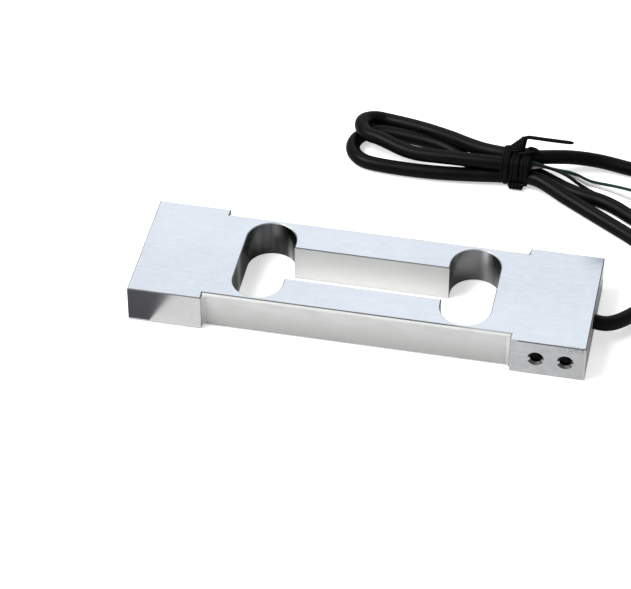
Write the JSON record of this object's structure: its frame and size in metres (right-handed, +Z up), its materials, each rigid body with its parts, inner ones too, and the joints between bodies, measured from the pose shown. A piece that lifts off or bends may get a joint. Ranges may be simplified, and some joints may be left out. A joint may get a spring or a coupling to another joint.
{
  "type": "single point load cell",
  "caption": "Flat aluminium single point load cell with a binocular sensing cut-out, tapped mounting pads, sealed strain gauges and a tied cable with bare cores.",
  "frame": {"origin": "centre of the face the cell lies on, under the middle of the bar, cable left out", "axes": "+X along the bar towards the cable's exit, +Y towards the rear mounting pads, +Z up through the thickness, along the cut-outs"},
  "size_m": [0.1634, 0.1045, 0.0152],
  "materials": {
    "cell_aluminium": "brushed",
    "gauge_foil": "satin",
    "terminal_board": "satin",
    "resistor_body": "satin",
    "jumper_ribbon": "satin",
    "sealant": "satin",
    "potting": "satin",
    "cable_jacket": "satin",
    "tie_coating": "satin",
    "core_red": "satin",
    "core_black": "satin",
    "core_green": "satin",
    "core_white": "satin",
    "tinned_strands": "satin"
  },
  "bodies": {
    "root": {"beam_body": "cell_aluminium", "front_gauge_left": "gauge_foil", "front_gauge_right": "gauge_foil", "front_terminal_strip": "terminal_board", "front_bridge_resistor": "resistor_body", "front_jumper_ribbon_short": "jumper_ribbon", "front_jumper_ribbon_long": "jumper_ribbon", "front_sealant": "sealant", "rear_gauge_left": "gauge_foil", "rear_gauge_right": "gauge_foil", "rear_terminal_strip": "terminal_board", "rear_bridge_resistor": "resistor_body", "rear_jumper_ribbon_short": "jumper_ribbon", "rear_jumper_ribbon_long": "jumper_ribbon", "rear_sealant": "sealant", "lead_in_red": "core_red", "lead_in_black": "core_black", "lead_in_green": "core_green", "lead_in_white": "core_white", "cable_inner_end": "cable_jacket", "cable_potting": "potting", "cable_lead": "cable_jacket", "cable_hank": "cable_jacket", "cable_loop": "cable_jacket", "cable_free_end": "cable_jacket", "hank_tie": "tie_coating", "core_green": "core_green", "core_tip_green": "tinned_strands", "core_white": "core_white", "core_tip_white": "tinned_strands", "core_black": "core_black", "core_tip_black": "tinned_strands", "core_red": "core_red", "core_tip_red": "tinned_strands"}
  },
  "joints": []
}
